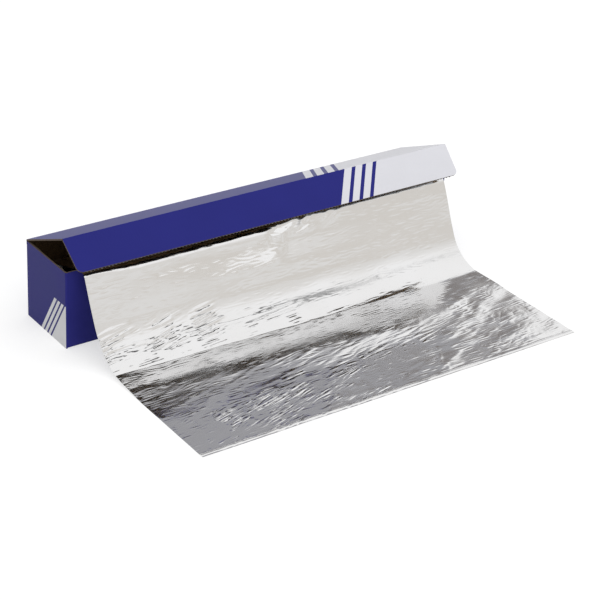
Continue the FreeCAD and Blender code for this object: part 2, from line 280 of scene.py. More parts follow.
light_path = add(sky, "ShaderNodeLightPath")
seen_by_metal = maths(sky, "MAXIMUM", light_path.outputs["Is Glossy Ray"],
                      light_path.outputs["Is Transmission Ray"])
lit = blend_colours(sky, seen_by_metal, [SKY_LIGHT] * 3 + [1], studio)
background = blend_colours(sky, light_path.outputs["Is Camera Ray"], lit, [1, 1, 1, 1])
shown = add(sky, "ShaderNodeBackground", {"Strength": 1.0})
sky.links.new(background.outputs[2], shown.inputs["Color"])
add(sky, "ShaderNodeOutputWorld", {"Surface": shown})
print("world nodes:", len(sky.nodes))

# %% [markdown]
# The sun is as wide as a big soft light, so its shadows have no edge, and reflections
# don't show it. The floor is matt and takes the object's shadow. It glows a little for
# the camera and for metal, which makes it as white as the background.

# %% Sun and floor
SUN_FROM = Vector((0.1, -0.50, 0.86))
SUN_STRENGTH = 1.45
SUN_ANGLE = math.radians(90)
FLOOR_WHITE = 0.50
FLOOR_GLOW = 0.56
FLOOR_HALF = 8.0

sun_data = bpy.data.lights.new("soft_sun", "SUN")
sun_data.energy, sun_data.angle = SUN_STRENGTH, SUN_ANGLE
sun = bpy.data.objects.new("soft_sun", sun_data)
bpy.context.scene.collection.objects.link(sun)
sun.rotation_mode = "QUATERNION"
sun.rotation_quaternion = SUN_FROM.to_track_quat("Z", "Y")
sun.visible_glossy = False

floor_paint, tree, output = new_material("matt_white_sweep")
path = add(tree, "ShaderNodeLightPath")
seen = maths(tree, "MAXIMUM", path.outputs["Is Camera Ray"],
             maths(tree, "MAXIMUM", path.outputs["Is Glossy Ray"],
                   path.outputs["Is Transmission Ray"]))
paint = add(tree, "ShaderNodeBsdfDiffuse", {"Color": [FLOOR_WHITE] * 3 + [1]})
glow = add(tree, "ShaderNodeEmission", {
    "Color": [1, 1, 1, 1], "Strength": maths(tree, "MULTIPLY", seen, FLOOR_GLOW)})
tree.links.new(add(tree, "ShaderNodeAddShader", {0: paint, 1: glow}).outputs[0],
               output.inputs["Surface"])
corners = [(x * FLOOR_HALF, y * FLOOR_HALF, 0) for x, y in ((-1, -1), (1, -1), (1, 1), (-1, 1))]
floor = new_piece("floor", corners, [(0, 1, 2, 3)], floor_paint, smooth=False)

# %% [markdown]
# ## Printed board
#
# The carton is brown corrugated board with a white clay-coated face, printed in one dark
# blue ink and varnished. The coated side is smooth and catches the light at a low angle,
# the inside stays bare kraft paper, and the cut edges show the liners with the fluting
# between them. A material can tell these apart by which way a face looks, so one set of
# nodes serves every panel: only the test for the outside and the print differ. The
# carton's inside kraft is painted darker than the lid's, as painted shade inside the box.

# %% Board colours and sizes
INK_BLUE, INK_DEEP = "#26287A", "#232572"
COATED_WHITE, COATED_GREY = "#DCDCE2", "#D3D3D8"
LID_KRAFT = ("#A58B6C", "#86704F")
# Painted shade: the carton's inside kraft is darker than the lid's, standing in for the shade
# inside the box.
SHADED_BOX_KRAFT = ("#66523C", "#4F3F2E")
EDGE_GREY, EDGE_BROWN = "#776C64", "#5B4A3C"
BOARD = 1.6 * MM
FLUTE_PITCH = 3.2 * MM
# Paper fibres of about a millimetre, coarser than real ones so that they show, and clouds
# of about 45 mm. A wave texture of scale 1 has about three bands in a metre.
FIBRE_SCALE, CLOUD_SCALE, WAVE_BANDS = 900.0, 22.0, 3.1
KRAFT_ROUGHNESS, VARNISH_ROUGHNESS = 0.85, 0.45
BOARD_GLOSS = 0.12

# The three bars beside the blue field, measured from where the blue ends.
STRIPE_LEAN = 0.62
BAR_PLACES = (12.3 * MM, 26.4 * MM, 40.4 * MM)
BAR_HALF = 2.5 * MM
BLUE_ENDS = 99.5 * MM


def stripes(tree, place, size=1.0):
    """Ink share of the print: blue up to the line, then three blue bars on white."""
    ink = maths(tree, "LESS_THAN", place, 0.0)
    for centre in BAR_PLACES:
        bar = maths(tree, "COMPARE", place, centre * size, BAR_HALF * size)
        ink = maths(tree, "MAXIMUM", ink, bar)
    return ink


def finish_board(tree, output, outside, edge, ink, flutes, ink_blue=None,
                 coated=COATED_WHITE, bare=LID_KRAFT):
    """Joins print, kraft and cut edge into one board shader."""
    position = add(tree, "ShaderNodeTexCoord").outputs["Object"]
    fibre = grain(tree, position, FIBRE_SCALE, 3.0)
    cloud = grain(tree, position, CLOUD_SCALE, 2.0)
    kraft = blend_colours(tree, ramp(tree, fibre, 0.35, 0.65), *map(linear, bare))
    white = blend_colours(tree, cloud, linear(coated), linear(COATED_GREY))
    blue = blend_colours(tree, cloud, ink_blue or linear(INK_BLUE), linear(INK_DEEP))
    printed = blend_colours(tree, ink, white, blue)
    cut = blend_colours(tree, flutes, linear(EDGE_GREY), linear(EDGE_BROWN))
    faces = blend_colours(tree, outside, kraft, printed)
    colour = blend_colours(tree, edge, faces, cut)
    varnish = maths(tree, "MULTIPLY", outside, maths(tree, "SUBTRACT", 1.0, edge))
    gloss = add(tree, "ShaderNodeMapRange", {
        "Value": varnish, "To Min": KRAFT_ROUGHNESS, "To Max": VARNISH_ROUGHNESS})
    washboard = add(tree, "ShaderNodeTexWave", {
        "Vector": position, "Scale": 1 / FLUTE_PITCH / WAVE_BANDS, "Distortion": 0.4},
        bands_direction="X")
    height = maths(tree, "ADD", maths(tree, "MULTIPLY", fibre, 0.25),
                   maths(tree, "MULTIPLY", washboard.outputs[1], 0.5))
    bump = add(tree, "ShaderNodeBump", {
        "Height": height, "Strength": 0.12, "Distance": 0.4 * MM})
    board = add(tree, "ShaderNodeBsdfPrincipled", {
        "Roughness": gloss, "Normal": bump, "IOR": 1.5, "Specular IOR Level": BOARD_GLOSS})
    tree.links.new(colour.outputs[2], board.inputs["Base Color"])
    tree.links.new(board.outputs[0], output.inputs["Surface"])

# %% [markdown]
# The lid and its flap are flat panels that lean, so their print is measured from the
# crease that each starts at: along the panel, along the roll and out of its face. The
# joints in the frame say where the two creases are.

# %% Lid and flap print
LID_OPEN = math.radians(24.1)
FLAP_HANG = math.radians(65.3 - 24.1)
creases = {joint["name"]: joint["pos_m"] for joint in frame["record"]["behaviour"]["joints"]}
HINGE = Vector(creases["lid_hinge"])
FLAP_CREASE = Vector(creases["flap_crease"])
LID_WAY = Vector((0, -math.cos(LID_OPEN), math.sin(LID_OPEN)))
LID_OUT = Vector((0, math.sin(LID_OPEN), math.cos(LID_OPEN)))
FLAP_WAY = Vector((0, -math.cos(FLAP_HANG), -math.sin(FLAP_HANG)))
FLAP_OUT = Vector((0, -math.sin(FLAP_HANG), math.cos(FLAP_HANG)))
# How far a face has to look outwards to be printed. A cosine is never below -1 or above 1,
# so -2 prints every face of a liner, and 2 gives it no cut edge.
PRINTED_FROM = {"round": -0.3, "square": 0.5, "liner": -2}
CUT_FROM = {"round": 0.5, "square": 0.5, "liner": 2}
FLUTED_HALF = 0.45 * MM


def panel_print(name, crease, way, out, kind):
    """Board material for a flat panel that starts at a crease and runs along a way.

    The kinds are "round" for a panel with a rounded crease edge, "square" for one with cut
    edges all round, and "liner" for the printed face alone."""
    material, tree, output = new_material(name)
    coordinates = add(tree, "ShaderNodeTexCoord")
    place = coordinates.outputs["Object"]
    if kind == "liner":
        place = add(tree, "ShaderNodeAttribute", attribute_name="rest_place").outputs["Vector"]
    from_crease = add(tree, "ShaderNodeVectorMath", {0: place, 1: crease}, operation="SUBTRACT")
    along = dot(tree, from_crease, way)
    x = dot(tree, from_crease, (1, 0, 0))
    lean = maths(tree, "MULTIPLY_ADD", along, STRIPE_LEAN, -BLUE_ENDS)
    ink = stripes(tree, maths(tree, "ADD", x, lean))
    facing = dot(tree, coordinates.outputs["Normal"], out)
    sideways = maths(tree, "ABSOLUTE", dot(tree, coordinates.outputs["Normal"], (1, 0, 0)))
    outside = maths(tree, "GREATER_THAN", facing, PRINTED_FROM[kind])
    edge = maths(tree, "GREATER_THAN", sideways, CUT_FROM[kind])
    if kind == "square":
        flat = maths(tree, "LESS_THAN", maths(tree, "ABSOLUTE", facing), CUT_FROM[kind])
        edge = maths(tree, "MAXIMUM", edge, flat)
    depth = maths(tree, "ABSOLUTE", dot(tree, from_crease, out))
    core = maths(tree, "LESS_THAN", depth, FLUTED_HALF)
    wave = maths(tree, "SINE", maths(tree, "MULTIPLY", along, 2 * math.pi / FLUTE_PITCH))
    flutes = maths(tree, "MULTIPLY", core, ramp(tree, wave, -0.6, 0.4))
    finish_board(tree, output, outside, edge, ink, flutes)
    return material


lid_print = panel_print("printed_board_lid", HINGE, LID_WAY, LID_OUT, "round")
flap_print = panel_print("printed_board_flap", FLAP_CREASE, FLAP_WAY, FLAP_OUT, "square")
lid_liner = panel_print("printed_liner_lid", HINGE, LID_WAY, LID_OUT, "liner")
flap_liner = panel_print("printed_liner_flap", FLAP_CREASE, FLAP_WAY, FLAP_OUT, "liner")

# %% [markdown]
# The carton is one solid with faces on all sides. A face is on the outside when its normal
# points away from the carton's middle by more than the depth of its own wall. The end
# panel has its own stripes at half the lid's scale, and the sides are plain blue. The same
# ink is painted darker on the end panel, as painted shade, and lighter on the sides, as
# painted light, and the carton's white is painted brighter than the lid's, as painted light.

# %% Carton print
# Painted light: the end panel's ink is darker, as painted shade, the sides' ink is lighter, as
# painted light, and the carton's white is brighter than the lid's, as painted light. The board
# carries one ink and one white.
SHADED_END_INK, LIFTED_SIDE_INK = "#201A78", "#3A3A96"
LIFTED_CARTON_WHITE = "#FFFFFF"
END_SCALE = 0.5
END_LEAN = 0.6
END_BLUE_ENDS = 11.5 * MM
END_STRIPES_TOP = 47 * MM
END_SKIN = 0.2 * MM
OUTSIDE_FROM = 5 * MM
RIM_FROM = 30 * MM
carton_low, carton_high = (Vector(corner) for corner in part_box("carton"))
CARTON_MIDDLE, CARTON_HALF = (carton_low + carton_high) / 2, (carton_high - carton_low) / 2

carton_print, tree, output = new_material("printed_board_carton")
coordinates = add(tree, "ShaderNodeTexCoord")
normals = coordinates.outputs["Normal"]
from_middle = add(tree, "ShaderNodeVectorMath", {
    0: coordinates.outputs["Object"], 1: CARTON_MIDDLE}, operation="SUBTRACT")
outwards = dot(tree, from_middle, normals)
outside = maths(tree, "GREATER_THAN", outwards, OUTSIDE_FROM)
x, y, z = (dot(tree, from_middle, axis) for axis in ((1, 0, 0), (0, 1, 0), (0, 0, 1)))
rim = product(tree, maths(tree, "GREATER_THAN", dot(tree, normals, (0, 0, 1)), 0.5),
              maths(tree, "GREATER_THAN", z, RIM_FROM))
lean = maths(tree, "MULTIPLY_ADD", z, -END_LEAN, END_BLUE_ENDS - END_LEAN * CARTON_MIDDLE.z)
bars = stripes(tree, maths(tree, "SUBTRACT", lean, y), END_SCALE)
above = maths(tree, "GREATER_THAN", z, END_STRIPES_TOP - CARTON_MIDDLE.z)
not_end = maths(tree, "GREATER_THAN", x, -CARTON_HALF.x + END_SKIN)
ink = maths(tree, "MAXIMUM", bars, maths(tree, "MAXIMUM", above, not_end))
rim_wave = maths(tree, "SINE", maths(
    tree, "MULTIPLY", maths(tree, "ADD", x, y), 2 * math.pi / FLUTE_PITCH))
# The carton's blue: darker on the end panel as painted shade, lighter on the sides as painted
# light.
carton_blue_lit_and_shaded = blend_colours(tree, not_end, linear(SHADED_END_INK), linear(LIFTED_SIDE_INK))
finish_board(tree, output, outside, rim, ink, ramp(tree, rim_wave, -0.2, 0.8),
             carton_blue_lit_and_shaded, LIFTED_CARTON_WHITE, SHADED_BOX_KRAFT)

for node, material in (("carton", carton_print), ("lid_panel", lid_print),
                       ("lid_flap", flap_print)):
    board = frame["nodes"][node]
    board.data.materials.clear()
    board.data.materials.append(material)
    print("printed", node)

# %% [markdown]
# ## Creases
#
# Board is scored and folded, so its outer liner runs round each fold without a break. The
# CAD panels stop at the crease, with a small gap that lets the joint turn. A thin printed
# strip closes it. It lies flat on one panel, goes round the fold and lies flat on the
# next, and it tapers to its two ends. Each half has the print of its own panel, and reads
# its place from an attribute that is kept from the rest pose.

# %% Crease strips
STRIP_PROUD = 0.08 * MM
STRIP_THICK = 0.10 * MM
TIP_THICK = 0.01 * MM
FOLD_RADIUS = BOARD / 2 + STRIP_PROUD
FOLD_STEPS = 10
STRIP_COLUMNS = 120
LID_STRIP_REACH, FLAP_STRIP_REACH = 5 * MM, 4 * MM


def crease_strip(name, centre, start_way, start_out, end_way, end_out, reach, length, liners):
    """A thin strip round a fold: flat on one panel, round the crease, flat on the next."""
    start_angle = math.atan2(start_out.z, start_out.y)
    turn = math.atan2(end_out.z, end_out.y) - start_angle
    angles = [start_angle + turn * step / FOLD_STEPS for step in range(FOLD_STEPS + 1)]
    outs = [Vector((0, math.cos(angle), math.sin(angle))) for angle in angles]
    top, under = FOLD_RADIUS, FOLD_RADIUS - STRIP_THICK
    loop = [centre + start_way * reach + start_out * (under + TIP_THICK)]
    loop += [centre + out * top for out in outs]
    loop += [centre + end_way * reach + end_out * (under + TIP_THICK),
             centre + end_way * reach + end_out * under]
    loop += [centre + out * under for out in outs[::-1]]
    loop.append(centre + start_way * reach + start_out * under)
    columns, count = STRIP_COLUMNS, len(loop)
    points = [(x, p.y, p.z) for x in np.linspace(-length / 2, length / 2, columns) for p in loop]
    faces = [(c * count + k, c * count + (k + 1) % count,
              (c + 1) * count + (k + 1) % count, (c + 1) * count + k)
             for c in range(columns - 1) for k in range(count)]
    faces += [tuple(range(count))[::-1], tuple((columns - 1) * count + k for k in range(count))]
    strip = new_piece(name, points, faces, liners[0])
    strip.data.materials.append(liners[1])
    rest_place = strip.data.attributes.new("rest_place", "FLOAT_VECTOR", "POINT")
    rest_place.data.foreach_set("vector", np.array(points, np.float32).ravel())
    fold_middle = centre + (start_out + end_out) / 2 * FOLD_RADIUS
    across = end_way - start_way
    for face in strip.data.polygons:
        face.material_index = int((face.center - fold_middle).dot(across) > 0)
    return strip


LENGTH = 2 * CARTON_HALF.x
UP, BACK_OUT = Vector((0, 0, 1)), Vector((0, 1, 0))
lid_strip = crease_strip("lid_crease_liner", HINGE, -UP, BACK_OUT, LID_WAY, LID_OUT,
                         LID_STRIP_REACH, LENGTH, (carton_print, lid_liner))
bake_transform(lid_strip)
flap_strip = crease_strip("flap_crease_liner", FLAP_CREASE, -LID_WAY, LID_OUT, FLAP_WAY,
                          FLAP_OUT, FLAP_STRIP_REACH, LENGTH, (lid_liner, flap_liner))
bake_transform(flap_strip)

# %% [markdown]
# ## Foil
#
# Household foil is rolled aluminium, about 0.0165 mm thick and bright. It takes every
# touch as a crease and keeps it. A sheet like this could be a cloth simulation, but foil
# doesn't drape: it bends in one direction at a time. So it is built here as a grid that
# follows the drawn-out line from the roll over the wall and down to the table, and creases
# are then pressed into it along its normal.
#
# The metal is a mirror with a fine crinkle and faint rolling lines. Fields of hair-fine
# wrinkles lie on it at an angle to the roll. Each pattern is placed on the flat sheet by
# an attribute: X along the roll, and the distance from the front edge.

# %% Foil metal
FOIL_WHITE, FOIL_SHADE = "#EBEBEC", "#E4E3E2"
CRINKLE, CRINKLE_LONG = 3.4 * MM, 0.22
ROLLING_LINES, ROLLING_LONG, ROLLING_DEPTH = 1.2 * MM, 0.01, 0.06
CLOUD_SIZE, PATCH_SIZE = 60 * MM, 34 * MM
FADE = 12 * MM
DULL_ALONG = (-100 * MM, -40 * MM, 120 * MM, 150 * MM)
DULL_ACROSS = (72 * MM, 88 * MM, 124 * MM, 136 * MM)
DULLER = 0.08
# Each field of wrinkles in degrees and mm: angle, length, spacing, height, and its region
# as X from and to, and the distance from the front edge from and to.
WRINKLES = ((13, 60, 5.0, 3.4, (-226, -110, 174, 200)),
            (5, 90, 4.0, 1.6, (-226, 40, 160, 180)),
            (16, 30, 4.0, 1.2, (-205, -20, 2, 56)),
            (9, 34, 6.0, 1.1, (-120, 120, 60, 104)),
            (24, 14, 8.0, 0.25, (130, 214, 8, 120)))


def wrinkles(tree, x, d, angle, long, apart, region):
    """Fine wrinkles at an angle to the roll, in patches of one region of the flat sheet."""
    cos, sin = math.cos(math.radians(angle)), math.sin(math.radians(angle))
    along = maths(tree, "ADD", maths(tree, "MULTIPLY", x, cos / long),
                  maths(tree, "MULTIPLY", d, sin / long))
    across = maths(tree, "SUBTRACT", maths(tree, "MULTIPLY", d, cos / apart),
                   maths(tree, "MULTIPLY", x, sin / apart))
    place = add(tree, "ShaderNodeCombineXYZ", {0: along, 1: across, 2: angle})
    lines = maths(tree, "ABSOLUTE", maths(tree, "SUBTRACT", grain(tree, place, 1.0, 0.6), 0.5))
    x_from, x_to, d_from, d_to = (side * MM for side in region)
    flat_place = add(tree, "ShaderNodeCombineXYZ", {0: x, 1: d, 2: angle})
    return product(tree, window(tree, x, x_from - FADE, x_from, x_to, x_to + 3 * FADE),
                   ramp(tree, grain(tree, flat_place, 1 / PATCH_SIZE, 2.0), 0.42, 0.58),
                   window(tree, d, d_from - FADE / 2, d_from, d_to, d_to + FADE), lines)


def foil_metal(name, roughness, bump_depth, drawn=()):
    """Bright rolled aluminium: a mirror with fine crinkles and faint rolling lines.

    Drawn foil also has fields of wrinkles, and is duller in one band along the roll."""
    material, tree, output = new_material(name)
    flat = add(tree, "ShaderNodeAttribute", attribute_name="flat_place").outputs["Vector"]
    stretched = add(tree, "ShaderNodeVectorMath", {0: flat, 1: (CRINKLE_LONG, 1.0, 1.0)},
                    operation="MULTIPLY")
    crinkle = add(tree, "ShaderNodeTexNoise", {
        "Vector": stretched, "Scale": 1 / CRINKLE, "Detail": 4.0, "Roughness": 0.6},
        noise_type="RIDGED_MULTIFRACTAL")
    rolled = add(tree, "ShaderNodeVectorMath", {0: flat, 1: (1.0, ROLLING_LONG, 1.0)},
                 operation="MULTIPLY")
    lines = grain(tree, rolled, 1 / ROLLING_LINES, 1.0)
    height = maths(tree, "ADD", crinkle, maths(tree, "MULTIPLY", lines, ROLLING_DEPTH))
    place = add(tree, "ShaderNodeSeparateXYZ", {0: flat})
    x, d = place.outputs["X"], place.outputs["Y"]
    for angle, long, apart, tall, region in drawn:
        group = wrinkles(tree, x, d, angle, long * MM, apart * MM, region)
        height = maths(tree, "MULTIPLY_ADD", group, tall * MM / bump_depth, height)
    bump = add(tree, "ShaderNodeBump", {"Height": height, "Strength": 1.0, "Distance": bump_depth})
    cloud = grain(tree, flat, 1 / CLOUD_SIZE, 2.0)
    dull = add(tree, "ShaderNodeMapRange", {
        "Value": cloud, "From Min": 0.35, "From Max": 0.65,
        "To Min": roughness * 0.7, "To Max": roughness * 1.3})
    if drawn:
        crushed = product(tree, window(tree, d, *DULL_ACROSS), window(tree, x, *DULL_ALONG))
        dull = maths(tree, "MULTIPLY_ADD", crushed, DULLER, dull)
    colour = blend_colours(tree, cloud, linear(FOIL_WHITE), linear(FOIL_SHADE))
    metal = add(tree, "ShaderNodeBsdfPrincipled", {
        "Metallic": 1.0, "Roughness": dull, "Normal": bump})
    tree.links.new(colour.outputs[2], metal.inputs["Base Color"])
    tree.links.new(metal.outputs[0], output.inputs["Surface"])
    print(f"{name}: {len(tree.nodes)} nodes")
    return material


sheet_metal = foil_metal("rolled_aluminium_foil", 0.12, 0.24 * MM, WRINKLES)
roll_metal = foil_metal("wound_aluminium_foil", 0.22, 0.05 * MM)

# %% [markdown]
# The foil's line is the same as the CAD solid's: a tangent from the top of the roll over
# the front wall, a bend at the shoulder, a straight hang, a wide sweep onto the table and
# a flat run to the front edge. Its sizes differ a little from the left edge to the right,
# and in between they are mixed.

# %% Line of the drawn-out foil
WALL_FRONT, WALL_TOP = round(-carton_low.y / MM, 2), round(carton_high.z / MM, 2)
FOIL_LEFT, FOIL_RIGHT = (round(corner[0] / MM, 2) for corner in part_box("foil"))
REST_GAP, HALF_GAUGE = 0.3, 0.2
ROLL_HEIGHT, ROLL_RADIUS = 37.4, 35.5
# In mm and degrees: the shoulder's reach and radius, the hang's angle, the sweep's radius
# and how far the front edge lies in front of the wall.
SIDES = {"left": (13.5, 8.0, 66.0, 70.0, 231.0), "right": (3.4, 3.5, 63.8, 52.0, 232.5)}
SHOULDER_STEPS, SWEEP_STEPS = 24, 60


def drawn_line(share, shoulder=None):
    """The foil's line in mm at a share of its width: points and lengths from the front edge.

    A reach and radius can be given for the shoulder over the wall."""
    reach, radius, hang, sweep, end = (
        a + (b - a) * share for a, b in zip(SIDES["left"], SIDES["right"]))
    reach, radius = shoulder or (reach, radius)
    rest = WALL_TOP + REST_GAP + HALF_GAUGE
    inside = WALL_FRONT - BOARD / MM
    middle = ROLL_RADIUS - HALF_GAUGE
    span = math.hypot(inside, rest - ROLL_HEIGHT)
    rise = math.atan2(rest - ROLL_HEIGHT, inside) - math.asin(middle / span)
    leave = np.array((-middle * math.sin(rise), ROLL_HEIGHT + middle * math.cos(rise)))
    corner = np.array((WALL_FRONT + reach, rest + (WALL_FRONT + reach - inside) * math.tan(rise)))
    hang = math.radians(hang)
    turn = rise + hang
    way = np.array((math.cos(rise), math.sin(rise)))
    line = [leave, corner - way * radius * math.tan(turn / 2)]
    hub = line[-1] + radius * np.array((math.sin(rise), -math.cos(rise)))
    for angle in rise - turn * np.linspace(0, 1, SHOULDER_STEPS)[1:]:
        line.append(hub + radius * np.array((-math.sin(angle), math.cos(angle))))
    land = sweep * (1 - math.cos(hang)) + HALF_GAUGE
    drop = (line[-1][1] - land) / math.sin(hang)
    line.append(line[-1] + drop * np.array((math.cos(hang), -math.sin(hang))))
    hub = line[-1] + sweep * np.array((math.sin(hang), math.cos(hang)))
    for angle in -hang + hang * np.linspace(0, 1, SWEEP_STEPS)[1:]:
        line.append(hub + sweep * np.array((math.sin(angle), -math.cos(angle))))
    line.append(np.array((end + WALL_FRONT, HALF_GAUGE)))
    line = np.array(line)
    steps = np.hypot(*np.diff(line, axis=0).T)
    from_front = steps.sum() - np.concatenate([[0], np.cumsum(steps)])
    return line[::-1], from_front[::-1]


drawn_length = drawn_line(0.5)[1][-1] * MM
print("drawn-out foil:", round(drawn_length, 4), "m")

# %% [markdown]
# The grid's rows lie closer together at the front edge, where the foil turns over the wall
# and where it has a sharp crease. Its columns can be wider, because most creases run along
# the roll. A row is named by its distance in mm from the front edge.

# %% Rows of the sheet
FOOT_CREASE, HANG_CREASE = 156.6, 181.5
ROW_STEP, EDGE_STEP, CREASE_STEP, TURN_STEP, INSIDE_STEP = 1.9, 0.8, 0.75, 1.2, 4.0
EDGE_TO, CREASE_REACH = 6, 4
TURN_FROM, TURN_TO, INSIDE_FROM = 252, 280, 284


def row_places(total):
    """Distances from the front edge, close together at the edge, the creases and the turn."""
    places = [0.0]
    while places[-1] < total:
        here = places[-1]
        near = min(abs(here - crease) for crease in (FOOT_CREASE, HANG_CREASE))
        step = ROW_STEP
        if here < EDGE_TO:
            step = EDGE_STEP
        elif near < CREASE_REACH:
            step = CREASE_STEP
        elif TURN_FROM < here < TURN_TO:
            step = TURN_STEP
        elif here > INSIDE_FROM:
            step = INSIDE_STEP
        places.append(here + step)
    return np.array(places[:-1])


shortest = min(drawn_line(share)[1][-1] for share in (0, 0.5, 1))
rows = row_places(shortest)
print("rows:", len(rows))

# %% [markdown]
# The bend over the wall is rounder on the left half than the CAD solid's, and steps back
# to a tight one under the flap. So the top of each column is mixed with a second line that
# has a shoulder of its own.

# %% Grid of the sheet
COLUMNS = 200
LINE_MEETS_ROLL = 272
SHOULDER_REACH, SHOULDER_STEP = 13.5, 8.5
SHOULDER_RADIUS, SHOULDER_ROUNDER = 8.0, 7.0
STEP_SHARES = (0.455, 0.53)
ROUNDER_FROM = (-222, -160)
TOP_FROM = (222, 252)
OUTWARDS = (0, -0.6, 0.8)


def smooth(value, low, high):
    """A smooth step from 0 to 1."""
    t = np.clip((value - low) / (high - low), 0, 1)
    return t * t * (3 - 2 * t)


def line_points(share, shoulder=None):
    """Points in the YZ plane at the grid's rows. The last row always ends on the roll."""
    line, lengths = drawn_line(share, shoulder)
    places = rows + smooth(rows, LINE_MEETS_ROLL, rows[-1]) * (lengths[-1] - rows[-1])
    return np.stack([-np.interp(places, lengths, line[:, 0]),
                     np.interp(places, lengths, line[:, 1])], -1)


shares = np.linspace(0, 1, COLUMNS)
x_place = FOIL_LEFT + (FOIL_RIGHT - FOIL_LEFT) * shares
base = np.zeros((COLUMNS, len(rows), 3))
near_top = smooth(rows, *TOP_FROM)[:, None]
for column, share in enumerate(shares):
    stepped = float(smooth(share, *STEP_SHARES))
    rounder = SHOULDER_ROUNDER * float(smooth(x_place[column], *ROUNDER_FROM)) * (1 - stepped)
    shoulder = (SHOULDER_REACH - SHOULDER_STEP * stepped, SHOULDER_RADIUS + rounder)
    base[column, :, 0] = x_place[column]
    base[column, :, 1:] = (line_points(share) * (1 - near_top)
                           + line_points(share, shoulder) * near_top)
normal = np.cross(np.gradient(base, axis=0), np.gradient(base, axis=1))
normal /= np.linalg.norm(normal, axis=2, keepdims=True)
normal *= np.sign((normal * OUTWARDS).sum(2, keepdims=True))
print("grid", base.shape)

# %% [markdown]
# Everything that crumples the sheet goes into one height field, in mm along its normal.
# Most of it is smooth noise over the flat sheet, stretched along the roll and turned a
# little, as foil creases when it is pulled from a carton by hand.

# %% Noise over the sheet
def field(scale_x, scale_d, turn=0.0, shift=0.0):
    """Smooth noise between -1 and 1 over the sheet, stretched and turned."""
    c, s = math.cos(math.radians(turn)), math.sin(math.radians(turn))
    values = np.zeros((COLUMNS, len(rows)))
    for i, x in enumerate(x_place):
        for j, d in enumerate(rows):
            values[i, j] = noise.noise(Vector((
                (x * c + d * s) / scale_x + shift, (d * c - x * s) / scale_d, shift)))
    return values


X, D = np.meshgrid(x_place, rows, indexing="ij")
above_table = base[..., 2] - HALF_GAUGE
print("foil above the table: up to", round(above_table.max(), 1), "mm")

# %% [markdown]
# The part on the table has a low hump along the roll. Behind its crest the foil mirrors its
# own bright hang, and in front of it the grey wall behind the carton, so bright foil turns
# grey along the crest. The crest is placed by a few points from left to right. Swells and
# ridges lie in front of it, and the hang has soft folds of its own.

# %% Hump, swells and ridges
CREST = ((-223, 137), (-168, 130), (-104, 121), (-32, 116), (36, 106), (104, 103), (160, 112),
         (192, 125))
HUMP_HEIGHT, HUMP_HALF = 2.2, 25
TABLE_TO = (105, 150)
HANG_FROM, HANG_TO = (165, 200), (240, 262)
# Noise fields: length along the roll and across it in mm, turn in degrees, and shift.
CREST_WAVER, CALM_WAVER, PATCHES = (50, 900, 0, 5.2), (60, 900, 0, 7.3), (70, 45, 0, 9.2)
WIDE_SWELL, SHORT_SWELL = (85, 42, 8, 3.1), (38, 17, 10, 7.7)
RIDGES, FINE_RIDGES = (46, 7.5, 11, 1.3), (17, 3.6, 14, 5.9)
HANG_SWELL, HANG_FOLDS = (120, 60, 20, 2.2), (60, 16, 12, 4.4)

crest = np.interp(X, *zip(*CREST))
hump_height = HUMP_HEIGHT - 0.5 * smooth(X, 20, 90) - 0.9 * smooth(X, 130, 180)
hump = hump_height * np.exp(-((D - crest + 5 * field(*CREST_WAVER)) / HUMP_HALF) ** 2)
height = hump * smooth(D, 40, 90)
on_table = 1 - smooth(D, *TABLE_TO)
calm = 1 - 0.85 * smooth(D + 8 * field(*CALM_WAVER) - crest, -8, 8)
swell = (0.6 + 0.4 * smooth(X, -160, -60)) * (field(*WIDE_SWELL) + field(*SHORT_SWELL) * 0.4)
ridges = 0.24 * (1 - 2 * np.abs(field(*RIDGES))) + 0.09 * (1 - 2 * np.abs(field(*FINE_RIDGES)))
strength = 0.35 + 0.65 * smooth(field(*PATCHES), -0.25, 0.35) * smooth(X, -180, -60)
strength *= 1 - 0.7 * smooth(X, 140, 180)
height += on_table * calm * (swell + strength * ridges)
on_hang = smooth(D, *HANG_FROM) * (1 - smooth(D, *HANG_TO))
height += on_hang * (field(*HANG_SWELL) * 1.2 + field(*HANG_FOLDS) * 0.25)
print("swells from", round(height.min(), 2), "to", round(height.max(), 2), "mm")

# %% [markdown]
# Two creases run along the roll at the foot of the hang. The first goes the whole way. On
# the left it is a shallow groove. From the middle to the right the foil lies nearly flat up
# to it and then bends up sharply, which squeezes the reflection of the flap and the dark
# gap under it into one thin line. A fine ridge stands along it and is highest on the right.
# The second crease is a little higher up, and only on the left.

# %% Creases at the foot
MEANDER, MEANDER_DEPTH = (30, 400, 0, 6.1), 0.8
DRIFT_FROM, DRIFT = 110, 0.08
RIGHT_FROM = (-60, 0)
FOOT_DEEP, FOOT_WIDE = (0.8, 0.35), (3.2, 1.3)
HANG_DEEP, HANG_WIDE, HANG_CREASE_TO = 0.7, 1.6, (-100, -20)
BEND_SHARE, BEND_FADE, BEND_TO = 0.8, 6, (120, 160)
RIDGE_HEIGHT, RIDGE_WIDE, RIDGE_FROM = 0.45, 1.6, (60, 140)
GROOVE_LIMIT = 0.6

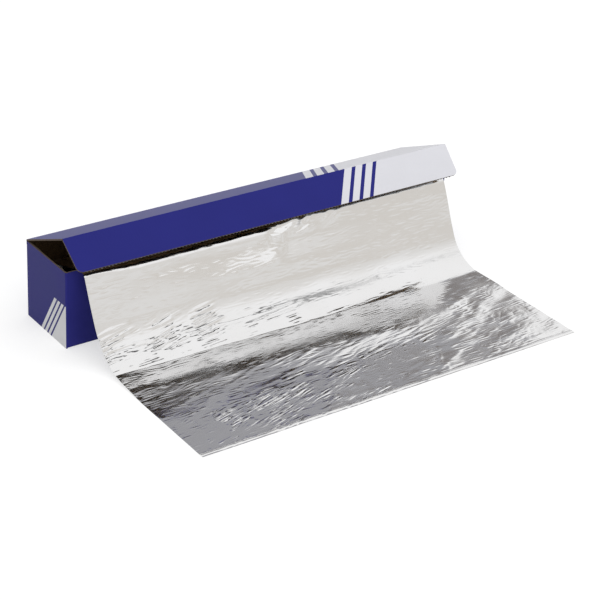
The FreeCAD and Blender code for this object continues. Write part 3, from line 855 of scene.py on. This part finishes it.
drift = field(*MEANDER) * MEANDER_DEPTH + np.clip(X - DRIFT_FROM, 0, None) * DRIFT
past_foot, past_hang = D - FOOT_CREASE - drift, D - HANG_CREASE - drift
right = smooth(X, *RIGHT_FROM)
deep, wide = (a + (b - a) * right for a, b in (FOOT_DEEP, FOOT_WIDE))
room_below = above_table * GROOVE_LIMIT
height -= np.minimum(deep, room_below) * np.exp(-np.abs(past_foot) / wide)
height -= (np.minimum(HANG_DEEP, room_below) * np.exp(-np.abs(past_hang) / HANG_WIDE)
           * (1 - smooth(X, *HANG_CREASE_TO)))
bent = right * (1 - smooth(X, *BEND_TO))
height -= BEND_SHARE * bent * above_table * np.exp(-np.clip(past_foot, 0, None) / BEND_FADE)
height += (RIDGE_HEIGHT * np.exp(-np.abs(past_foot) / RIDGE_WIDE)
           * (0.3 + 0.7 * smooth(X, *RIDGE_FROM)))
print("deepest crease", round(height.min(), 2), "mm")

# %% [markdown]
# Short creases lie about at random on the table part. Most run nearly along the roll, and
# about a quarter are steeper and shorter. The seed is fixed, so each run makes the same.

# %% Random creases
CREASE_COUNT, CREASE_SEED = 90, 11
STEEP_SHARE = 0.25
CREASE_HALF = 1.3
CREASE_BEND = 0.0006
QUIET_FROM, QUIET = 140, 0.45

random = np.random.RandomState(CREASE_SEED)
for index in range(CREASE_COUNT):
    cx, cd = random.uniform(-220, 225), random.uniform(2, 150)
    steep = random.rand() < STEEP_SHARE
    angle = math.radians(random.uniform(35, 75) if steep else random.uniform(-8, 26))
    long, tall = random.uniform(12, 55) * (0.5 if steep else 1), random.uniform(0.06, 0.32)
    tall *= QUIET if cx > QUIET_FROM else 1
    run = (X - cx) * math.cos(angle) + (D - cd) * math.sin(angle)
    off = (D - cd) * math.cos(angle) - (X - cx) * math.sin(angle)
    off = off + CREASE_BEND * run ** 2 * random.choice((-1, 1))
    shape = np.exp(-np.abs(off) / CREASE_HALF) * np.exp(-(run / long) ** 4)
    height += on_table * calm * tall * shape
print("random creases:", CREASE_COUNT)

# %% [markdown]
# Last come the places where the foil was handled: a crushed spot with a notch at the
# shoulder, and the front edge, which curls up a little. The height is then limited, so
# that no crease goes through the table or the carton, and it ends inside the carton.

# %% Crushed spot and curled edge
CRUSH_AT, CRUSH_HALF, CRUSH_DEPTH = (36, 265), (42, 9), 2.0
CRUSH_FOLDS = (26, 13, 35, 8.8)
NOTCH_AT, NOTCH_HALF, NOTCH_DEPTH = (54, 264), (11, 6), 2.5
CURL_HEIGHT, CURL_AT, CURL_HALF = 1.0, 3.4, 1.8
LIP_HEIGHT, LIP_HALF = 0.5, 1.5
CURL_WAVER = (60, 400, 0, 4.9)
TABLE_SKIN, DEEPEST = 0.02, 3.0
SMOOTH_INSIDE = (266, 276)

crush = (np.exp(-((X - CRUSH_AT[0]) / CRUSH_HALF[0]) ** 4)
         * np.exp(-((D - CRUSH_AT[1]) / CRUSH_HALF[1]) ** 2))
height += crush * (CRUSH_DEPTH * (1 - 2 * np.abs(field(*CRUSH_FOLDS))) + 0.2)
height -= (NOTCH_DEPTH * np.exp(-((X - NOTCH_AT[0]) / NOTCH_HALF[0]) ** 2)
           * np.exp(-((D - NOTCH_AT[1]) / NOTCH_HALF[1]) ** 2))
curl = (CURL_HEIGHT * np.exp(-((D - CURL_AT) / CURL_HALF) ** 2)
        + LIP_HEIGHT * np.exp(-D / LIP_HALF))
height += (0.8 + 0.4 * field(*CURL_WAVER)) * curl
room_below = np.clip(above_table * 0.9, 0, DEEPEST) * (1 - smooth(D, 240, 256))
height = np.maximum(height, TABLE_SKIN - room_below)
height *= 1 - smooth(D, *SMOOTH_INSIDE)
print("creases from", round(height.min(), 2), "to", round(height.max(), 2), "mm")

# %% [markdown]
# The sheet is closed: a bright side, a back a little behind it, and a rim of faces all
# round. It is far thicker than real foil, which would be too thin to render cleanly.

# %% Foil sheet
SHEET_THICK = 0.12
front_side = base + normal * height[..., None]
back_side = front_side - normal * SHEET_THICK
count = COLUMNS * len(rows)
points = np.concatenate([front_side.reshape(-1, 3), back_side.reshape(-1, 3)]) * MM


def at(i, j, side=0):
    """Index of a grid point on the bright side or the back."""
    return side * count + i * len(rows) + j


last_i, last_j = COLUMNS - 1, len(rows) - 1
faces = []
for i in range(last_i):
    for j in range(last_j):
        quad = (at(i, j), at(i + 1, j), at(i + 1, j + 1), at(i, j + 1))
        faces.append(quad)
        faces.append(tuple(p + count for p in quad[::-1]))
for i in range(last_i):
    for j, flip in ((0, True), (last_j, False)):
        edge = (at(i, j), at(i + 1, j), at(i + 1, j, 1), at(i, j, 1))
        faces.append(edge[::-1] if flip else edge)
for j in range(last_j):
    for i, flip in ((0, False), (last_i, True)):
        edge = (at(i, j), at(i, j + 1), at(i, j + 1, 1), at(i, j, 1))
        faces.append(edge[::-1] if flip else edge)
foil_sheet = new_piece("foil_sheet", points, faces, sheet_metal)
flat_place = foil_sheet.data.attributes.new("flat_place", "FLOAT_VECTOR", "POINT")
flat = np.stack([X, D, np.zeros_like(X)], -1).reshape(-1, 3) * MM
flat_place.data.foreach_set("vector", np.concatenate([flat, flat]).astype(np.float32).ravel())
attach(foil_sheet, "carton_and_roll")
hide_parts("foil")

# %% [markdown]
# The roll itself is hundreds of turns. From the side they show as fine rings, so each end
# is turned on a lathe line with shallow steps, and the outside gets the soft dents that a
# wound sheet keeps.

# %% Foil roll
CORE_HOLE = 20.55
RINGS, RING_STEP, RING_SEED = 22, 0.35, 5
TURN_STEPS = 120
ROLL_COLUMNS = 60
EDGE_ROUND = 0.3
DENT_DEPTH, DENT_LENGTH, DENTS_ROUND = 0.35, 45, 3

ring_random = np.random.RandomState(RING_SEED)
ring_radii = np.linspace(CORE_HOLE, ROLL_RADIUS - EDGE_ROUND, RINGS)
ring_steps = ring_random.uniform(0, RING_STEP, RINGS)
profile = [(FOIL_LEFT + s, r) for r, s in zip(ring_radii, ring_steps)]
profile += [(x, ROLL_RADIUS) for x in np.linspace(
    FOIL_LEFT + 2 * EDGE_ROUND, FOIL_RIGHT - 2 * EDGE_ROUND, ROLL_COLUMNS)]
profile += [(FOIL_RIGHT - s, r) for r, s in zip(ring_radii[::-1], ring_steps[::-1])]
points, flat = [], []
for x, radius in profile:
    for step in range(TURN_STEPS):
        angle = 2 * math.pi * step / TURN_STEPS
        outer = radius > ROLL_RADIUS - 0.01
        dent = DENT_DEPTH * noise.noise(Vector((
            x / DENT_LENGTH, DENTS_ROUND * math.cos(angle), DENTS_ROUND * math.sin(angle))))
        r = radius - (abs(dent) if outer else 0)
        points.append((x * MM, r * math.cos(angle) * MM,
                       (ROLL_HEIGHT + r * math.sin(angle)) * MM))
        flat.append((x * MM, angle * radius * MM, 0.0))
size = len(profile)
faces = [(p * TURN_STEPS + k, p * TURN_STEPS + (k + 1) % TURN_STEPS,
          (p + 1) % size * TURN_STEPS + (k + 1) % TURN_STEPS, (p + 1) % size * TURN_STEPS + k)
         for p in range(size) for k in range(TURN_STEPS)]
foil_roll = new_piece("foil_roll", points, [f[::-1] for f in faces], roll_metal)
flat_place = foil_roll.data.attributes.new("flat_place", "FLOAT_VECTOR", "POINT")
flat_place.data.foreach_set("vector", np.array(flat, np.float32).ravel())
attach(foil_roll, "carton_and_roll")
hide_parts("foil")

# %% [markdown]
# ## Core and cutter
#
# The core is a spirally wound paper tube, so its seam climbs round it like a screw
# thread. It is matt and a little fibrous. The fibres are drawn about 1.4 mm apart, which is
# coarser than real ones, so that they show.

# %% Core card
CARD_PALE, CARD_DARK, SEAM_BROWN = "#B29470", "#94764F", "#6E5638"
SEAM_PITCH, SEAM_SHARE = 82 * MM, 0.012
CARD_FIBRE_SCALE = 700.0

card, tree, output = new_material("spiral_wound_card")
position = add(tree, "ShaderNodeTexCoord").outputs["Object"]
place = add(tree, "ShaderNodeSeparateXYZ", {0: position})
angle = maths(tree, "ARCTAN2", maths(tree, "SUBTRACT", place.outputs["Z"], ROLL_HEIGHT * MM),
              place.outputs["Y"])
screw = maths(tree, "FRACT", maths(tree, "ADD", maths(tree, "MULTIPLY", angle, 0.5 / math.pi),
                                   maths(tree, "DIVIDE", place.outputs["X"], SEAM_PITCH)))
seam = maths(tree, "LESS_THAN", screw, SEAM_SHARE)
fibre = grain(tree, position, CARD_FIBRE_SCALE, 3.0)
paper = blend_colours(tree, ramp(tree, fibre, 0.3, 0.7), linear(CARD_PALE), linear(CARD_DARK))
colour = blend_colours(tree, seam, paper, linear(SEAM_BROWN))
bump = add(tree, "ShaderNodeBump", {"Height": fibre, "Strength": 0.3, "Distance": 0.3 * MM})
shader = add(tree, "ShaderNodeBsdfPrincipled", {"Roughness": 0.85, "Normal": bump})
tree.links.new(colour.outputs[2], shader.inputs["Base Color"])
tree.links.new(shader.outputs[0], output.inputs["Surface"])
frame["nodes"]["core_tube"].data.materials.clear()
frame["nodes"]["core_tube"].data.materials.append(card)
print("core card: a seam every", SEAM_PITCH, "m")

# %% [markdown]
# The cutter is a strip of thin cold-rolled steel with stamped teeth, ground along its
# length, so it shines in fine lines. They are drawn 0.35 mm wide, coarser than real ones.

# %% Cutter steel
STEEL_PALE, STEEL_DARK = "#B4B8BC", "#9DA1A6"
SCRATCH_WIDTH, SCRATCH_LONG = 0.35 * MM, 0.02

steel, tree, output = new_material("ground_strip_steel")
position = add(tree, "ShaderNodeTexCoord").outputs["Object"]
brushed = add(tree, "ShaderNodeVectorMath", {0: position, 1: (SCRATCH_LONG, 1.0, 1.0)},
              operation="MULTIPLY")
scratches = grain(tree, brushed, 1 / SCRATCH_WIDTH, 2.0)
shine = add(tree, "ShaderNodeMapRange", {"Value": scratches, "To Min": 0.22, "To Max": 0.40})
colour = blend_colours(tree, scratches, linear(STEEL_PALE), linear(STEEL_DARK))
bump = add(tree, "ShaderNodeBump", {"Height": scratches, "Strength": 0.3, "Distance": 0.1 * MM})
metal = add(tree, "ShaderNodeBsdfPrincipled", {
    "Metallic": 1.0, "Roughness": shine, "Normal": bump})
tree.links.new(colour.outputs[2], metal.inputs["Base Color"])
tree.links.new(metal.outputs[0], output.inputs["Surface"])
frame["nodes"]["cutter_strip"].data.materials.clear()
frame["nodes"]["cutter_strip"].data.materials.append(steel)
print("cutter steel: scratches", SCRATCH_WIDTH, "m wide")

# %% [markdown]
# The view transform stays Standard, so that colours come out as they were picked.

# %% Finish
bpy.context.scene.view_settings.view_transform = "Standard"
